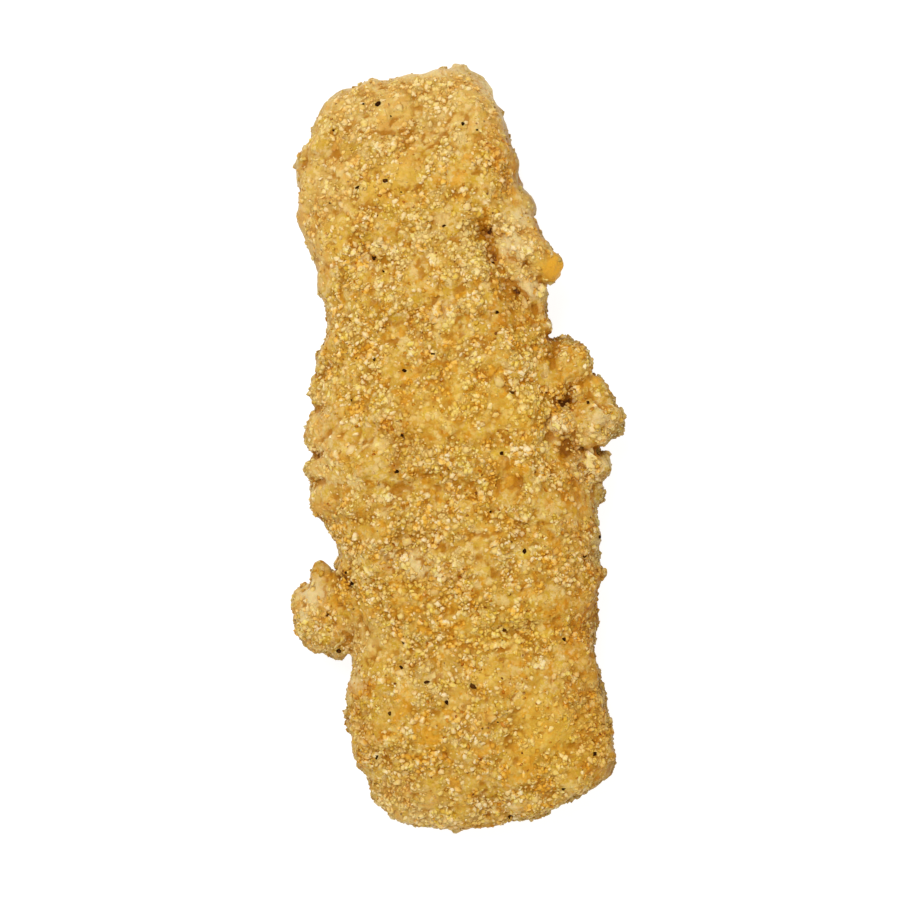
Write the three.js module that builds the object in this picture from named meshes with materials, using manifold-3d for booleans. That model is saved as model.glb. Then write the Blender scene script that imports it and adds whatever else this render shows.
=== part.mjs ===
// Breaded pollock fillet: a strip of white fish in a fried crumb crust, one solid piece of food.
// Millimetres, +Z up. The strip lies along Y on its flat underside.
// The origin is at the bottom centre of its bounding box.
import * as THREE from 'three';
import { ImprovedNoise } from 'three/addons/math/ImprovedNoise.js';
import { MeshSurfaceSampler } from 'three/addons/math/MeshSurfaceSampler.js';
import { mergeVertices } from 'three/addons/utils/BufferGeometryUtils.js';
import Module from 'manifold-3d';

const { smoothstep, seededRandom, degToRad } = THREE.MathUtils;

// Driving dimensions
const stripLength = 145.6;
const bellyHeight = 8.6; // height of the widest line round the side
const cutDepth = 1.6; // how much of the round underside is cut off flat
const endPower = 4.8; // squareness of the two ends, seen from above and from the side
const sectionPower = 2.9; // squareness of a slice across the strip
const endFrom = 0.94; // the share of the length where the two end faces begin
const crustSteps = { across: 19, along: 63, down: 8 };

// Half-widths to the left and right and height of the crown, from the near end to the far end
const stations = [
  { y: -75, left: 25.4, right: 30.4, crown: 16.4 },
  { y: -64, left: 26.6, right: 28.2, crown: 18.4 },
  { y: -52, left: 26.2, right: 25.6, crown: 19.6 },
  { y: -41, left: 26.2, right: 24.6, crown: 19.4 },
  { y: -30, left: 23.8, right: 26.0, crown: 20.2 },
  { y: -18, left: 24.4, right: 26.0, crown: 21.0 },
  { y: -8, left: 26.6, right: 25.0, crown: 21.2 },
  { y: 2, left: 26.8, right: 23.8, crown: 21.2 },
  { y: 12, left: 25.4, right: 22.6, crown: 20.6 },
  { y: 22, left: 21.8, right: 21.0, crown: 19.8 },
  { y: 34, left: 21.2, right: 20.4, crown: 19.4 },
  { y: 46, left: 24.0, right: 20.0, crown: 19.6 },
  { y: 58, left: 25.6, right: 19.8, crown: 18.6 },
  { y: 75, left: 26.0, right: 19.4, crown: 15.4 },
];

// The two ends aren't cut square: how far each runs back toward one side
const endSlant = { near: 0.1, far: 0.05, wholeFrom: 0.55 };

// Unevenness of the whole crust, coarse to fine: width and height of the swells
const reliefLayers = [
  { width: 24, height: 1.3 },
  { width: 9.5, height: 1.1 },
  { width: 4.4, height: 1.0 },
];

// Clumps of crumbs, which stand out from the crust where the noise is over its threshold
const clumps = { width: 6.2, threshold: 0.16, height: 3.4 };

// Swells (height over 0) and hollows of the upper side: centre, reach both ways, turn in degrees
const swells = [
  { x: -1, y: -72, reachX: 1.8, reachY: 6.5, turn: -8, height: -2.0 },
  { x: -10, y: 37, reachX: 4.5, reachY: 2.4, turn: -20, height: -1.4 },
  { x: -15, y: 45, reachX: 6, reachY: 4, turn: 10, height: 0.9 },
  { x: 12.8, y: 38.5, reachX: 2.2, reachY: 7.5, turn: 14, height: -3.2 },
  { x: 15.4, y: 27, reachX: 2.0, reachY: 6, turn: 14, height: -2.4 },
  { x: 12, y: 47.5, reachX: 9, reachY: 1.8, turn: -8, height: -1.1 },
  { x: -18, y: -2, reachX: 7, reachY: 4.5, turn: 25, height: 1.6 },
  { x: -13, y: -10, reachX: 9, reachY: 1.8, turn: 28, height: -1.2 },
  { x: 20.8, y: 3, reachX: 2.2, reachY: 8, turn: 4, height: -2.8 },
  { x: -5, y: -19, reachX: 8, reachY: 3, turn: -12, height: -0.9 },
  { x: 5, y: -50, reachX: 11, reachY: 8, turn: 0, height: 0.9 },
  { x: -22, y: -29, reachX: 2.4, reachY: 6, turn: 0, height: -1.4 },
  { x: 2, y: 68, reachX: 14, reachY: 1.8, turn: 8, height: -0.8 },
  { x: 4, y: -8.6, reachX: 18, reachY: 1.9, turn: -3, height: -1.2 },
  { x: 2, y: 8, reachX: 14, reachY: 8, turn: 0, height: 0.8 },
  { x: 0, y: -38.5, reachX: 28, reachY: 3.2, turn: 2, height: -1.5 },
  { x: -4, y: 40.5, reachX: 15, reachY: 2.8, turn: -6, height: -1.3 },
];

// Bumps that the batter makes on the sides and ends: centre, reach and height
const bumps = [
  { at: [-24.8, 48.2, 10], reach: 2.8, height: 2.5 },
  { at: [-23.2, 42.6, 12], reach: 3.2, height: 1.3 },
  { at: [-24.6, 54.5, 8], reach: 3.6, height: 0.9 },
  { at: [-25.2, 14.4, 10], reach: 2.8, height: 2.6 },
  { at: [-26.2, 9.2, 11], reach: 2.4, height: 1.4 },
  { at: [-27.2, 3.6, 10], reach: 2.7, height: 2.6 },
  { at: [-27.2, -1.6, 11], reach: 2.4, height: 2.2 },
  { at: [-27.2, -8.4, 10], reach: 3.2, height: 3.2 },
  { at: [-25.6, -57.6, 8], reach: 3.4, height: 1.2 },
  { at: [19.4, 46.0, 10], reach: 3.2, height: 2.3 },
  { at: [-8.5, -73.6, 8], reach: 7.0, height: 0.7 },
  { at: [7.4, -73.4, 7.5], reach: 5.4, height: 3.2 },
  { at: [17.0, -71.6, 7.5], reach: 6.0, height: 1.9 },
  { at: [24.6, -67.2, 7], reach: 4.8, height: 2.6 },
  { at: [11.0, 73.4, 8], reach: 6.0, height: 0.8 },
];

// Lumps of batter fused to the sides: centre and half-sizes
const lumps = [
  { name: 'left knob', at: [-28.5, -30.2, 8.2], size: [6.3, 8.1, 6.7] },
  { name: 'left knob neck', at: [-23.4, -28.0, 8.6], size: [4.6, 6.6, 6.0] },
  { name: 'left knob tip', at: [-28.6, -21.4, 9.8], size: [1.9, 2.3, 1.7] },
  { name: 'right flap', at: [18.8, 35.6, 12.8], size: [4.8, 7.4, 5.6] },
  { name: 'right flap crown', at: [16.6, 41.4, 14.6], size: [2.9, 3.4, 3.4] },
  { name: 'right flap tail', at: [18.4, 27.0, 11.4], size: [3.5, 6.0, 5.0] },
  { name: 'right flap ball', at: [22.7, 33.0, 13.0], size: [2.7, 3.1, 2.8] },
  { name: 'cluster stalk', at: [23.8, 17.4, 9.2], size: [2.3, 3.0, 2.7] },
  { name: 'cluster upper', at: [25.0, 13.0, 10.2], size: [4.2, 4.8, 5.2] },
  { name: 'cluster middle', at: [27.6, 8.2, 8.6], size: [4.2, 4.0, 4.8] },
  { name: 'cluster ball', at: [29.0, 2.2, 10.6], size: [5.2, 5.1, 5.6] },
  { name: 'cluster root', at: [24.2, 2.6, 6.2], size: [4.6, 9.4, 4.6] },
  { name: 'cluster flake', at: [27.0, -6.4, 9.6], size: [3.9, 3.7, 4.2] },
  { name: 'cluster tail', at: [25.8, -11.2, 7.2], size: [2.8, 4.0, 3.8] },
  { name: 'inner flake', at: [22.2, 2.2, 14.2], size: [2.9, 2.6, 2.2] },
];
const lumpNoise = [
  { width: 0.8, height: 0.34 },
  { width: 0.42, height: 0.2 },
];
const lumpFineSizes = [2.6, 5.1]; // a lump with a half-size over each of these gets finer faces

// Coarse crumbs fused over the crust, the largest first
const crumbs = { count: 58, seed: 41, largest: 2.1, smallest: 1.1, spacing: 7, flatness: 0.75 };

const noise = new ImprovedNoise();

// A value of the stations at a place along the strip, on a smooth curve through them
function along(y, key) {
  const found = stations.findIndex((station) => station.y > y);
  const next = found < 1 ? stations.length - 1 : found;
  const [before, after] = [stations[next - 1], stations[next]];
  const slope = (n) => {
    const a = stations[Math.max(n - 1, 0)];
    const b = stations[Math.min(n + 1, stations.length - 1)];
    return (b[key] - a[key]) / (b.y - a.y);
  };
  const step = after.y - before.y;
  const t = (y - before.y) / step;
  const bend = t * t * (3 - 2 * t);
  const leaving = step * slope(next - 1) * t * (1 - t) ** 2;
  const arriving = step * slope(next) * t * t * (t - 1);
  return before[key] * (1 - bend) + after[key] * bend + leaving + arriving;
}

// Half-width of a block with rounded ends, for a place along it from -1 to 1. It is its own inverse.
const endCurve = (t) => (1 - Math.abs(t) ** endPower) ** (1 / endPower);

// A point on the skin of a 2 by 2 by 2 box, drawn in to a block with rounded ends and sides
function roundedBlock({ x, y, z }) {
  const rim = Math.max(Math.abs(x), Math.abs(z));
  const width = rim * endCurve(endFrom * y);
  const section = (Math.abs(x) ** sectionPower + Math.abs(z) ** sectionPower) ** (1 / sectionPower) || 1;
  return new THREE.Vector3((x * width) / section, Math.sign(y) * endCurve(width), (z * width) / section);
}

// The block's point, stretched to the strip's outline and section
function stripPoint(point) {
  const y = (point.y * stripLength) / 2;
  const x = point.x * (point.x < 0 ? along(y, 'left') : along(y, 'right'));
  const reach = point.z < 0 ? bellyHeight + cutDepth : along(y, 'crown') - bellyHeight;
  const nearEnd = smoothstep(-point.y, endSlant.wholeFrom, 1) * endSlant.near * x;
  const farEnd = smoothstep(point.y, endSlant.wholeFrom, 1) * endSlant.far * x;
  return point.set(x, y + nearEnd + farEnd, bellyHeight + point.z * reach);
}

// Height of the crust's unevenness at a point
function reliefAt(p) {
  const swell = reliefLayers.reduce(
    (sum, { width, height }, n) => sum + height * noise.noise(p.x / width + 7 * n, p.y / width, p.z / width + 3),
    0,
  );
  const clump = noise.noise(p.x / clumps.width + 40, p.y / clumps.width, p.z / clumps.width);
  return swell + clumps.height * Math.max(clump - clumps.threshold, 0);
}

// Height of the named swells and hollows at a point of the upper side
function swellAt(p) {
  return swells.reduce((sum, swell) => {
    const turned = new THREE.Vector2(p.x - swell.x, p.y - swell.y);
    turned.rotateAround(new THREE.Vector2(), degToRad(-swell.turn));
    return sum + swell.height * Math.exp(-((turned.x / swell.reachX) ** 2) - (turned.y / swell.reachY) ** 2);
  }, 0);
}

// Height of the side bumps at a point
function bumpAt(p) {
  return bumps.reduce((sum, bump) => {
    const away = p.distanceTo(new THREE.Vector3(...bump.at)) / bump.reach;
    return sum + bump.height * Math.exp(-away * away);
  }, 0);
}

// A geometry with only positions, its shared vertices merged
function welded(geometry) {
  geometry.deleteAttribute('normal');
  geometry.deleteAttribute('uv');
  return mergeVertices(geometry, 1e-4);
}

// Moves every vertex of a geometry by a function of its point and normal
function reshaped(geometry, move) {
  geometry.computeVertexNormals();
  const { position, normal } = geometry.attributes;
  for (let i = 0; i < position.count; i++) {
    const point = new THREE.Vector3().fromBufferAttribute(position, i);
    const moved = move(point, new THREE.Vector3().fromBufferAttribute(normal, i));
    position.setXYZ(i, moved.x, moved.y, moved.z);
  }
  geometry.computeVertexNormals();
  return geometry;
}

// The strip itself, with its unevenness. Its underside is uncut.
function makeStrip() {
  const { across, along: lengthwise, down } = crustSteps;
  const strip = welded(new THREE.BoxGeometry(2, 2, 2, across, lengthwise, down));
  reshaped(strip, (point) => stripPoint(roundedBlock(point)));
  return reshaped(strip, (point, normal) => {
    const upper = smoothstep(normal.z, -0.1, 0.5);
    return point.addScaledVector(normal, reliefAt(point) + bumpAt(point) + upper * swellAt(point));
  });
}

// One lump of batter: an uneven ellipsoid
function makeLump({ at, size }, index) {
  const detail = 1 + lumpFineSizes.filter((limit) => Math.max(...size) > limit).length;
  const lump = welded(new THREE.IcosahedronGeometry(1, detail));
  return reshaped(lump, (point) => {
    const swell = lumpNoise.reduce(
      (sum, { width, height }) => sum + height * noise.noise(point.x / width + index, point.y / width, point.z / width),
      1,
    );
    return point.multiplyScalar(swell).multiply(new THREE.Vector3(...size)).add(new THREE.Vector3(...at));
  });
}

// One coarse crumb, a flattened angular grain that is half sunk in the crust
function makeCrumb(point, normal, radius) {
  const [jitter, turn] = [() => 0.75 + 0.5 * seededRandom(), () => 2 * Math.PI * seededRandom()];
  const grain = welded(new THREE.OctahedronGeometry(radius, 0));
  reshaped(grain, (corner) => corner.multiplyScalar(jitter()));
  grain.rotateX(turn()).rotateY(turn()).scale(jitter(), jitter(), crumbs.flatness);
  const stand = new THREE.Quaternion().setFromUnitVectors(new THREE.Vector3(0, 0, 1), normal);
  return grain.applyQuaternion(stand).translate(point.x, point.y, point.z);
}

// Places for the crumbs, spread evenly over a surface, clear of the underside
function crumbPlaces(surface) {
  const sampler = new MeshSurfaceSampler(new THREE.Mesh(surface)).setRandomGenerator(seededRandom).build();
  const places = [];
  for (let tries = 0; places.length < crumbs.count && tries < 60 * crumbs.count; tries++) {
    const point = new THREE.Vector3();
    const normal = new THREE.Vector3();
    sampler.sample(point, normal);
    const clear = places.every((place) => place.point.distanceTo(point) > crumbs.spacing);
    if (clear && point.z > 4) places.push({ point, normal });
  }
  return places;
}

const wasm = await Module();
wasm.setup();

function toSolid(geometry) {
  return new wasm.Manifold(new wasm.Mesh({
    numProp: 3,
    vertProperties: new Float32Array(geometry.attributes.position.array),
    triVerts: new Uint32Array(geometry.index.array),
  }));
}

function toGeometry(solid) {
  const { vertProperties, triVerts } = solid.getMesh();
  return new THREE.BufferGeometry()
    .setAttribute('position', new THREE.BufferAttribute(new Float32Array(vertProperties), 3))
    .setIndex(new THREE.BufferAttribute(new Uint32Array(triVerts), 1));
}

// The strip with its lumps, cut flat below, then with its crumbs
seededRandom(crumbs.seed);
let fillet = lumps.reduce((whole, lump, n) => whole.add(toSolid(makeLump(lump, n))), toSolid(makeStrip()));
fillet = fillet.trimByPlane([0, 0, 1], 0);
const bare = toGeometry(fillet);
bare.computeVertexNormals();
crumbPlaces(bare).forEach(({ point, normal }, n, places) => {
  const radius = THREE.MathUtils.lerp(crumbs.largest, crumbs.smallest, n / places.length);
  fillet = fillet.add(toSolid(makeCrumb(point, normal, radius)));
});

// The largest body is the fillet, set with its box's bottom centre at the origin
const [whole] = fillet.decompose().sort((a, b) => b.volume() - a.volume());
const geometry = toGeometry(whole);
geometry.computeBoundingBox();
const middle = geometry.boundingBox.getCenter(new THREE.Vector3());
geometry.translate(-middle.x, -middle.y, -geometry.boundingBox.min.z);

const crust = new THREE.MeshStandardMaterial({ color: 0xd0a04c, roughness: 0.62, metalness: 0 });
const mesh = new THREE.Mesh(geometry, crust);
mesh.name = 'breaded_fillet';

const fillets = new THREE.Group();
fillets.add(mesh);

export default fillets;
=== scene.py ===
import math
import random

import bmesh
import bpy
import numpy as np
from mathutils import Euler, Matrix, Vector, noise
from mathutils.bvhtree import BVHTree


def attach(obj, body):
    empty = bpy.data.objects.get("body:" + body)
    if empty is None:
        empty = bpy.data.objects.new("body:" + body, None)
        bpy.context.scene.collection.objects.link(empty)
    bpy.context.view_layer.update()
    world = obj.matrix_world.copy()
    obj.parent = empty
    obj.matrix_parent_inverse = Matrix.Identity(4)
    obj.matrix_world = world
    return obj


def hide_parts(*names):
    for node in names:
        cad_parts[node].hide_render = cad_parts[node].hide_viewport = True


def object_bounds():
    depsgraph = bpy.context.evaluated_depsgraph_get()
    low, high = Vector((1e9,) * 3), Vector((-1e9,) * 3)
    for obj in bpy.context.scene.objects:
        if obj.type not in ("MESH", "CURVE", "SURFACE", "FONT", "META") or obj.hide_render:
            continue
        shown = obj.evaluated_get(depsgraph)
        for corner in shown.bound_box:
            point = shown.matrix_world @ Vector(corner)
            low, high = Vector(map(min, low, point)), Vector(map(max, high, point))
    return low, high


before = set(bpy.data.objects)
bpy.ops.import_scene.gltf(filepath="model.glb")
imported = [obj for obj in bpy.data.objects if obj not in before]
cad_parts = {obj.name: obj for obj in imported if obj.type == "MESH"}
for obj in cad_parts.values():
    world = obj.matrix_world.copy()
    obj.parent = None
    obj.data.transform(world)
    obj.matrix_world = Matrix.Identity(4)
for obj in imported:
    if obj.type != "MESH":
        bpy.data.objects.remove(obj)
cadLow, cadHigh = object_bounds()
mm = 0.001
print("frame loaded")


def toLinear(red, green, blue):
    # a colour as read off a screen, 0 to 255, to the linear values that a shader takes
    shares = (red / 255, green / 255, blue / 255)
    curve = [v / 12.92 if v <= 0.04045 else ((v + 0.055) / 1.055) ** 2.4 for v in shares]
    return (*curve, 1.0)


class Wire:
    # the value of a socket, so that the maths on it reads as Python

    def __init__(self, tree, socket):
        self.tree, self.socket = tree, socket

    def out(self, name):
        # another output of the same node
        return Wire(self.tree, self.socket.node.outputs[name])

    def maths(self, operation, first, second=0.0):
        return addNode(self.tree, "ShaderNodeMath", {"operation": operation}, {0: first, 1: second})

    def __add__(self, other):
        return self.maths("ADD", self, other)

    def __sub__(self, other):
        return self.maths("SUBTRACT", self, other)

    def __rsub__(self, other):
        return self.maths("SUBTRACT", other, self)

    def __mul__(self, other):
        return self.maths("MULTIPLY", self, other)

    def __truediv__(self, other):
        return self.maths("DIVIDE", self, other)

    def __rtruediv__(self, other):
        return self.maths("DIVIDE", other, self)

    def __pow__(self, other):
        return self.maths("POWER", self, other)

    def __abs__(self):
        return self.maths("ABSOLUTE", self)

    def atLeast(self, other):
        return self.maths("MAXIMUM", self, other)

    def atMost(self, other):
        return self.maths("MINIMUM", self, other)

    def rise(self, low, high):
        # 0 at low and 1 at high, with a soft start and end
        inputs = {"Value": self, "From Min": low, "From Max": high}
        return addNode(self.tree, "ShaderNodeMapRange", {"interpolation_type": "SMOOTHSTEP"}, inputs)

    __radd__, __rmul__ = __add__, __mul__


def addNode(tree, kind, settings=None, inputs=None, output=0):
    # one node: its settings first, then a value or a wire for each input
    node = tree.nodes.new(kind)
    for name, value in (settings or {}).items():
        setattr(node, name, value)
    for name, value in (inputs or {}).items():
        if isinstance(value, Wire):
            tree.links.new(value.socket, node.inputs[name])
        else:
            node.inputs[name].default_value = value
    return Wire(tree, node.outputs[output]) if node.outputs else node


def mixColours(tree, first, second, share, blend="MIX"):
    settings = {"data_type": "RGBA", "blend_type": blend}
    return addNode(tree, "ShaderNodeMix", settings, {0: share, 6: first, 7: second}, 2)


def vectorMaths(tree, operation, *values, output=0):
    inputs = dict(enumerate(values))
    return addNode(tree, "ShaderNodeVectorMath", {"operation": operation}, inputs, output)


def scaledVector(tree, vector, scale):
    inputs = {0: vector, "Scale": scale}
    return addNode(tree, "ShaderNodeVectorMath", {"operation": "SCALE"}, inputs)


def centred(tree, colour):
    # the three channels of a noise as a vector about 0
    return vectorMaths(tree, "SUBTRACT", colour, (0.5, 0.5, 0.5))


def axisOf(tree, vector, axis):
    # one coordinate of a vector
    return addNode(tree, "ShaderNodeSeparateXYZ", {}, {0: vector}).out(axis)


def shifted(tree, place, seed):
    # the same place in another part of a pattern, so that no two patterns match
    return vectorMaths(tree, "ADD", place, (seed * 0.37, seed * 0.61, seed * 0.13))


def noiseField(tree, place, size, seed, detail=2.0, roughness=0.5):
    # noise about 0, from about -0.5 to 0.5, with swells of the given size in millimetres
    inputs = {"Vector": shifted(tree, place, seed), "Scale": 1000 / size}
    inputs.update({"Detail": detail, "Roughness": roughness})
    return addNode(tree, "ShaderNodeTexNoise", {}, inputs) - 0.5


def grainCells(tree, place, size):
    # the distance to the middle of the nearest grain, in a bed of grains of the given size
    inputs = {"Vector": place, "Scale": 1000 / size}
    return addNode(tree, "ShaderNodeTexVoronoi", {"feature": "F1"}, inputs)


def newTree(name, settings):
    # a geometry tree with named inputs, given as name: (socket type, value)
    tree = bpy.data.node_groups.new(name, "GeometryNodeTree")
    tree.interface.new_socket("Geometry", in_out="INPUT", socket_type="NodeSocketGeometry")
    for label, (kind, value) in settings.items():
        socket = tree.interface.new_socket(label, in_out="INPUT", socket_type=kind)
        if kind != "NodeSocketMaterial":
            socket.default_value = value
    tree.interface.new_socket("Geometry", in_out="OUTPUT", socket_type="NodeSocketGeometry")
    entry = tree.nodes.new("NodeGroupInput")
    return tree, {socket.name: Wire(tree, socket) for socket in entry.outputs if socket.name}


def readMark(tree, name):
    # an attribute of the crust's points, in a geometry tree
    return addNode(tree, "GeometryNodeInputNamedAttribute", {"data_type": "FLOAT"}, {"Name": name})


def surfaceMark(tree, name):
    # the same attribute, in a material
    return addNode(tree, "ShaderNodeAttribute", {"attribute_name": name}).out("Fac")


def keepMark(tree, geometry, name, value):
    settings = {"data_type": "FLOAT", "domain": "POINT"}
    inputs = {"Geometry": geometry, "Name": name, "Value": value}
    return addNode(tree, "GeometryNodeStoreNamedAttribute", settings, inputs)


def blurred(tree, value, steps):
    inputs = {"Value": value, "Iterations": steps}
    return addNode(tree, "GeometryNodeBlurAttribute", {"data_type": "FLOAT_VECTOR"}, inputs)


def floored(tree, geometry, lowest):
    # nothing goes below the table
    place = addNode(tree, "GeometryNodeInputPosition")
    there = addNode(tree, "ShaderNodeSeparateXYZ", {}, {0: place})
    inputs = {"X": there.out("X"), "Y": there.out("Y"), "Z": there.out("Z").atLeast(lowest)}
    kept = addNode(tree, "ShaderNodeCombineXYZ", {}, inputs)
    return addNode(tree, "GeometryNodeSetPosition", {}, {"Geometry": geometry, "Position": kept})


def closeTree(tree, geometry, material, soft=True):
    # every tree ends with its instances made real and its material set
    inputs = {"Geometry": geometry, "Shade Smooth": soft}
    smooth = addNode(tree, "GeometryNodeSetShadeSmooth", {}, inputs)
    real = addNode(tree, "GeometryNodeRealizeInstances", {}, {"Geometry": smooth})
    done = addNode(tree, "GeometryNodeSetMaterial", {}, {"Geometry": real, "Material": material})
    addNode(tree, "NodeGroupOutput", {}, {"Geometry": done})


def growFrom(base, tree, values, name):
    # the tree's result on a base mesh, as a plain mesh in an object of its own
    carrier = bpy.data.objects.new(name + "Carrier", base.data)
    bpy.context.scene.collection.objects.link(carrier)
    modifier = carrier.modifiers.new("grow", "NODES")
    modifier.node_group = tree
    for item in tree.interface.items_tree:
        if item.item_type == "SOCKET" and item.in_out == "INPUT" and item.name in values:
            modifier[item.identifier] = values[item.name]
    plain = plainMesh(carrier, name)
    bpy.data.objects.remove(carrier)
    return plain


def plainMesh(piece, name):
    depsgraph = bpy.context.evaluated_depsgraph_get()
    mesh = bpy.data.meshes.new_from_object(
        piece.evaluated_get(depsgraph), preserve_all_data_layers=True, depsgraph=depsgraph
    )
    mesh.name = name
    made = bpy.data.objects.new(name, mesh)
    bpy.context.scene.collection.objects.link(made)
    return made


def countTriangles(piece):
    return sum(len(face.vertices) - 2 for face in piece.data.polygons)


def newMaterial(name, settings):
    # a material with its constants set on the shader's own sockets
    material = bpy.data.materials.new(name)
    material.use_nodes = True
    tree = material.node_tree
    tree.nodes.clear()
    shader = tree.nodes.new("ShaderNodeBsdfPrincipled")
    output = tree.nodes.new("ShaderNodeOutputMaterial")
    tree.links.new(shader.outputs["BSDF"], output.inputs["Surface"])
    for label, value in settings.items():
        shader.inputs[label].default_value = value
    return material, tree, shader


def wireIn(tree, shader, label, wire):
    tree.links.new(wire.socket, shader.inputs[label])


def ramped(tree, value, stops):
    # a colour for each value from 0 to 1, given as (value, (red, green, blue))
    ramp = addNode(tree, "ShaderNodeValToRGB", {}, {"Fac": value.atLeast(0.0).atMost(1.0)})
    elements = ramp.socket.node.color_ramp.elements
    for index, (spot, stop) in enumerate(stops):
        element = elements[index] if index < 2 else elements.new(spot)
        element.position, element.color = spot, toLinear(*stop)
    return ramp


# The colours that run through batter and crumbs alike, in patches of a few millimetres.
# A rise is where a patch starts and where it is full, on a noise about 0
mottling = {
    "warmSize": 2.2,
    "lightSize": 1.6,
    "broadSize": 9.0,
    "ragged": {"detail": 3.0, "roughness": 0.55},
    "broadPull": 0.4,  # how far the broad swells gather the small patches
    "amberRise": (0.01, 0.13),
    "lemonRise": (0.01, 0.12),
    "creamRise": (0.03, 0.14),
    "washRise": (0.15, 0.85),
    "patchShare": 0.9,
    "creamShare": 0.75,
    "blondShare": 0.26,
    "amberTint": (1.0, 0.77, 0.24, 1.0),
    "lemonTint": (0.99, 1.01, 0.48, 1.0),
    "cream": toLinear(240, 211, 145),
    "honeyTint": (1.02, 0.97, 0.66, 1.0),
    "tanAndShadeTint": (0.9, 0.79, 0.6, 1.0),
    "rimShadeTint": (0.64, 0.66, 0.72, 1.0),
}


def mottled(tree, place, colour):
    look = mottling
    warm = noiseField(tree, place, look["warmSize"], 41, **look["ragged"])
    light = noiseField(tree, place, look["lightSize"], 42, **look["ragged"])
    broad = noiseField(tree, place, look["broadSize"], 43) * look["broadPull"]

    def patch(strength, name):
        return strength.rise(*look[name]) * look["patchShare"]

    amber = patch(warm + broad, "amberRise")
    lemon = patch(light * 0.5 - warm - broad, "lemonRise")
    cream = patch(light - warm * 0.4 - broad, "creamRise")
    colour = mixColours(tree, colour, look["amberTint"], amber, "MULTIPLY")
    colour = mixColours(tree, colour, look["lemonTint"], lemon, "MULTIPLY")
    colour = mixColours(tree, colour, look["cream"], cream * look["creamShare"])

    # washes over broad parts of the fillet, with ragged borders, the tan one partly painted shade, and
    # painted shade on the rim
    def wash(name):
        return (surfaceMark(tree, name) + warm * 1.2 + light * 0.6).rise(*look["washRise"])

    colour = mixColours(tree, colour, look["honeyTint"], wash("honeyWash"), "MULTIPLY")
    colour = mixColours(tree, colour, look["tanAndShadeTint"], wash("tanWash"), "MULTIPLY")
    colour = mixColours(tree, colour, look["rimShadeTint"], surfaceMark(tree, "rim"), "MULTIPLY")
    return mixColours(tree, colour, look["cream"], wash("blondWash") * look["blondShare"])


# The crust: the solid as one fine skin, with crags, creases and pits.
# Sizes are across, and a gap is where a kind of relief leaves off and starts again
crustSizes = {
    "cragSize": 5.2,
    "cragHeight": 1.2,
    "clodSize": 2.3,
    "clodHeight": 1.05,
    "creaseSize": 8.0,
    "creaseDepth": 0.25,
    "creaseGapSize": 7.0,
    "grooveDepth": 0.8,
    "grooveGapSize": 3.0,
    "lobeHeight": 0.6,
    "creviceDepth": 0.8,
    "grainSize": 1.2,
    "grainHeight": 0.3,
    "crowdSize": 6.0,
    "skirtGapSize": 9.0,
    "pitSize": 2.4,
    "pitDepth": 1.0,
    "facingReach": 60,
    "hollowReach": 12,
    "dipReach": 90,
}

# The skin under the relief
skinSizes = {
    "joinedWithin": 0.001,
    "voxel": 0.515,
    "quickCoarser": 1.6,
    "softness": 0.5,
    "smoothing": 5,
}

# Where each mark of the crust starts and where it is full
crustRises = {
    "skirt": (0.3, 0.8),  # on how far the crust looks up, as is the rim
    "rim": (0.15, 0.6),
    "farther": (0.0, 60 * mm),
    "rightward": (-10 * mm, 20 * mm),
    "side": (0.1 * mm, 1.6 * mm),
    "skirtGap": (-0.35, -0.1),
    "crowd": (-0.1, 0.05),
    "crease": (0.0, 0.045),
    "creaseGap": (-0.06, 0.06),
    "grooveGap": (-0.3, 0.05),
    "crevice": (0.4, 0.9),
    "grain": (0.15, 0.65),
}

# How much of the relief and of the crumbs is lost where the batter is bare
bareLoss = {"crag": 0.35, "grain": 0.75, "crowd": 0.85}

# Down the sides the folds and lobes sway and fade, so that they don't run down in straight lines
sideFolds = {"start": 1.2, "reach": 11.0, "sway": 2.5, "wavesUp": 0.6, "wavesAcross": 0.25, "fade": 0.7}

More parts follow.
